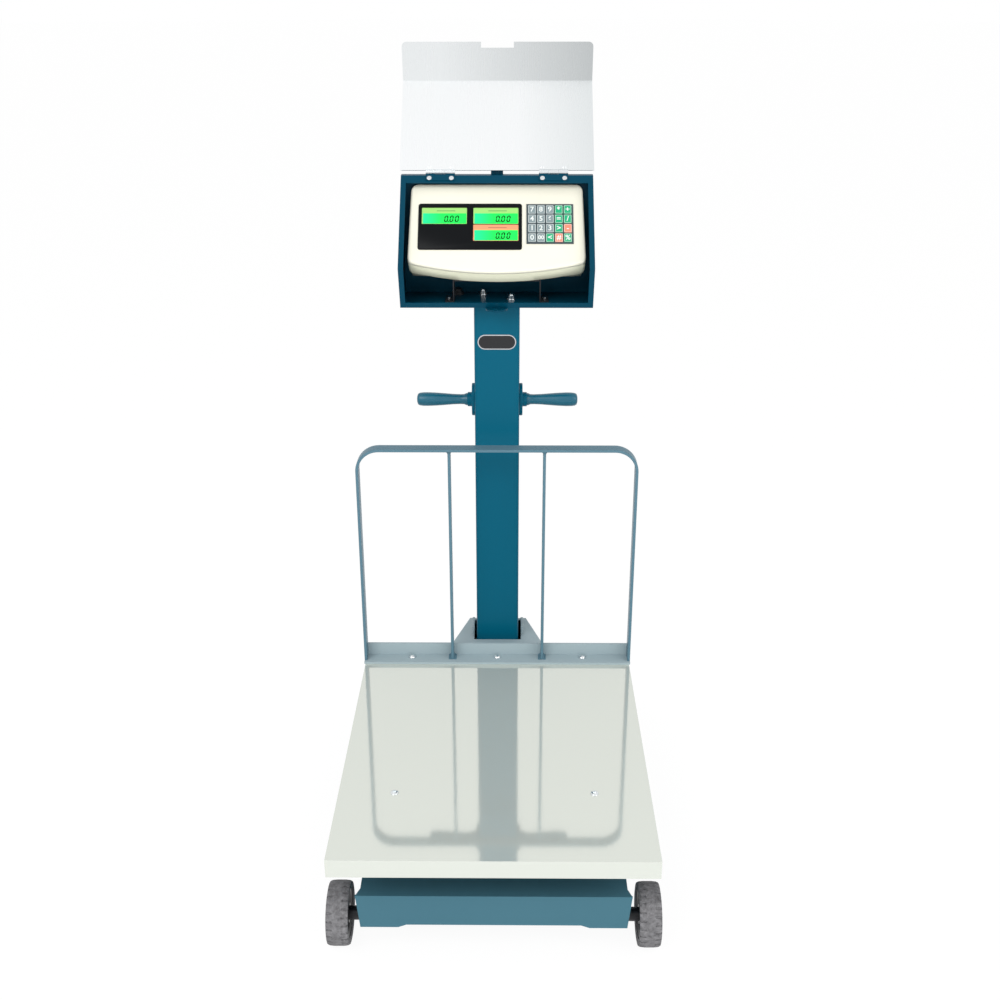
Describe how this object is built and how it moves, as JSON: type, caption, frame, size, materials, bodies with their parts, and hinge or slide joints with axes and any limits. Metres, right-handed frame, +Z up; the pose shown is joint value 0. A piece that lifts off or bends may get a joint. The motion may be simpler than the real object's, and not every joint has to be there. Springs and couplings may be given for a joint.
{
  "type": "platform scale",
  "caption": "Mobile platform weighing scale: stainless pan with guard rail on a wheeled base, column with hand grips and a lidded instrument box with display and keypad.",
  "frame": {"origin": "on the floor, under the centre of the bounding box", "axes": "+Z up, +X to the right seen from the front, front of the scale faces -Y"},
  "size_m": [0.522, 0.8306, 1.3089],
  "materials": {
    "teal_paint": "semi-gloss powder coat",
    "teal_grip": "smooth",
    "black_steel": "satin",
    "zinc": "zinc plated",
    "alloy": "milled",
    "stainless_pan": "polished",
    "stainless_screw": "bright",
    "stainless_lid": "polished sheet",
    "badge_black": "gloss",
    "cream_plastic": "fine texture",
    "stone_plastic": "fine texture",
    "gloss_black": "gloss",
    "lcd_green": "lit",
    "keypad_frame": "satin",
    "key_grey": "satin",
    "key_green": "satin",
    "key_salmon": "satin",
    "board_green": "solder mask",
    "battery_black": "matte",
    "gland_black": "matte",
    "tyre_rubber": "scuffed",
    "hub_plastic": "satin"
  },
  "bodies": {
    "stand": {"base_shell": "teal_paint", "base_frame": "black_steel", "axle_bolts": "zinc", "load_cell": "alloy", "load_cell_bolts": "zinc", "top_frame": "teal_paint", "pan": "stainless_pan", "pan_screws": "stainless_screw", "guard_angle": "teal_paint", "guard_frame": "teal_paint", "guard_bolts": "zinc", "column_socket": "teal_paint", "column": "teal_paint", "frame_bolts": "zinc", "handle_flanges": "teal_paint", "handle_grips": "teal_grip", "badge": "badge_black", "box_shell": "teal_paint", "box_lugs": "teal_paint", "indicator_bracket": "black_steel", "box_hinge_leaves": "zinc", "hinge_screws": "zinc", "indicator_case": "cream_plastic", "indicator_base": "stone_plastic", "display_panel": "gloss_black", "lcd_modules": "lcd_green", "keypad_plate": "keypad_frame", "circuit_board": "board_green", "battery": "battery_black", "cable_gland": "gland_black"},
    "lid": {"lid": "stainless_lid", "lid_hinge_leaves": "zinc"},
    "wheel_front_left": {"tyre_front_left": "tyre_rubber", "hub_front_left": "hub_plastic"},
    "wheel_front_right": {"tyre_front_right": "tyre_rubber", "hub_front_right": "hub_plastic"},
    "wheel_rear_left": {"tyre_rear_left": "tyre_rubber", "hub_rear_left": "hub_plastic"},
    "wheel_rear_right": {"tyre_rear_right": "tyre_rubber", "hub_rear_right": "hub_plastic"},
    "button_7": {"key_7": "key_grey"},
    "button_8": {"key_8": "key_grey"},
    "button_9": {"key_9": "key_grey"},
    "button_light": {"key_light": "key_green"},
    "button_plus": {"key_plus": "key_green"},
    "button_4": {"key_4": "key_grey"},
    "button_5": {"key_5": "key_grey"},
    "button_6": {"key_6": "key_grey"},
    "button_add": {"key_add": "key_green"},
    "button_recall": {"key_recall": "key_green"},
    "button_1": {"key_1": "key_grey"},
    "button_2": {"key_2": "key_grey"},
    "button_3": {"key_3": "key_grey"},
    "button_unit": {"key_unit": "key_green"},
    "button_clear": {"key_clear": "key_salmon"},
    "button_0": {"key_0": "key_grey"},
    "button_00": {"key_00": "key_grey"},
    "button_hold": {"key_hold": "key_green"},
    "button_zero": {"key_zero": "key_salmon"},
    "button_tare": {"key_tare": "key_green"}
  },
  "joints": [
    {"name": "lid_hinge", "type": "hinge", "parent": "stand", "child": "lid", "pos_m": [0, 0.28638, 1.10532], "axis": [1, 0, 0], "range_deg": [0, 180]},
    {"name": "wheel_front_left_spin", "type": "hinge", "parent": "stand", "child": "wheel_front_left", "pos_m": [-0.2435, -0.3413, 0.05], "axis": [1, 0, 0], "continuous": true},
    {"name": "wheel_front_right_spin", "type": "hinge", "parent": "stand", "child": "wheel_front_right", "pos_m": [0.2435, -0.3413, 0.05], "axis": [1, 0, 0], "continuous": true},
    {"name": "wheel_rear_left_spin", "type": "hinge", "parent": "stand", "child": "wheel_rear_left", "pos_m": [-0.2435, 0.1107, 0.05], "axis": [1, 0, 0], "continuous": true},
    {"name": "wheel_rear_right_spin", "type": "hinge", "parent": "stand", "child": "wheel_rear_right", "pos_m": [0.2435, 0.1107, 0.05], "axis": [1, 0, 0], "continuous": true},
    {"name": "press_7", "type": "slide", "parent": "stand", "child": "button_7", "axis": [0, 0.7478, -0.6639], "range_m": [0, 0.0008], "stiffness_N_per_m": 600, "springref_m": -0.0005},
    {"name": "press_8", "type": "slide", "parent": "stand", "child": "button_8", "axis": [0, 0.7478, -0.6639], "range_m": [0, 0.0008], "stiffness_N_per_m": 600, "springref_m": -0.0005},
    {"name": "press_9", "type": "slide", "parent": "stand", "child": "button_9", "axis": [0, 0.7478, -0.6639], "range_m": [0, 0.0008], "stiffness_N_per_m": 600, "springref_m": -0.0005},
    {"name": "press_light", "type": "slide", "parent": "stand", "child": "button_light", "axis": [0, 0.7478, -0.6639], "range_m": [0, 0.0008], "stiffness_N_per_m": 600, "springref_m": -0.0005},
    {"name": "press_plus", "type": "slide", "parent": "stand", "child": "button_plus", "axis": [0, 0.7478, -0.6639], "range_m": [0, 0.0008], "stiffness_N_per_m": 600, "springref_m": -0.0005},
    {"name": "press_4", "type": "slide", "parent": "stand", "child": "button_4", "axis": [0, 0.7478, -0.6639], "range_m": [0, 0.0008], "stiffness_N_per_m": 600, "springref_m": -0.0005},
    {"name": "press_5", "type": "slide", "parent": "stand", "child": "button_5", "axis": [0, 0.7478, -0.6639], "range_m": [0, 0.0008], "stiffness_N_per_m": 600, "springref_m": -0.0005},
    {"name": "press_6", "type": "slide", "parent": "stand", "child": "button_6", "axis": [0, 0.7478, -0.6639], "range_m": [0, 0.0008], "stiffness_N_per_m": 600, "springref_m": -0.0005},
    {"name": "press_add", "type": "slide", "parent": "stand", "child": "button_add", "axis": [0, 0.7478, -0.6639], "range_m": [0, 0.0008], "stiffness_N_per_m": 600, "springref_m": -0.0005},
    {"name": "press_recall", "type": "slide", "parent": "stand", "child": "button_recall", "axis": [0, 0.7478, -0.6639], "range_m": [0, 0.0008], "stiffness_N_per_m": 600, "springref_m": -0.0005},
    {"name": "press_1", "type": "slide", "parent": "stand", "child": "button_1", "axis": [0, 0.7478, -0.6639], "range_m": [0, 0.0008], "stiffness_N_per_m": 600, "springref_m": -0.0005},
    {"name": "press_2", "type": "slide", "parent": "stand", "child": "button_2", "axis": [0, 0.7478, -0.6639], "range_m": [0, 0.0008], "stiffness_N_per_m": 600, "springref_m": -0.0005},
    {"name": "press_3", "type": "slide", "parent": "stand", "child": "button_3", "axis": [0, 0.7478, -0.6639], "range_m": [0, 0.0008], "stiffness_N_per_m": 600, "springref_m": -0.0005},
    {"name": "press_unit", "type": "slide", "parent": "stand", "child": "button_unit", "axis": [0, 0.7478, -0.6639], "range_m": [0, 0.0008], "stiffness_N_per_m": 600, "springref_m": -0.0005},
    {"name": "press_clear", "type": "slide", "parent": "stand", "child": "button_clear", "axis": [0, 0.7478, -0.6639], "range_m": [0, 0.0008], "stiffness_N_per_m": 600, "springref_m": -0.0005},
    {"name": "press_0", "type": "slide", "parent": "stand", "child": "button_0", "axis": [0, 0.7478, -0.6639], "range_m": [0, 0.0008], "stiffness_N_per_m": 600, "springref_m": -0.0005},
    {"name": "press_00", "type": "slide", "parent": "stand", "child": "button_00", "axis": [0, 0.7478, -0.6639], "range_m": [0, 0.0008], "stiffness_N_per_m": 600, "springref_m": -0.0005},
    {"name": "press_hold", "type": "slide", "parent": "stand", "child": "button_hold", "axis": [0, 0.7478, -0.6639], "range_m": [0, 0.0008], "stiffness_N_per_m": 600, "springref_m": -0.0005},
    {"name": "press_zero", "type": "slide", "parent": "stand", "child": "button_zero", "axis": [0, 0.7478, -0.6639], "range_m": [0, 0.0008], "stiffness_N_per_m": 600, "springref_m": -0.0005},
    {"name": "press_tare", "type": "slide", "parent": "stand", "child": "button_tare", "axis": [0, 0.7478, -0.6639], "range_m": [0, 0.0008], "stiffness_N_per_m": 600, "springref_m": -0.0005}
  ]
}
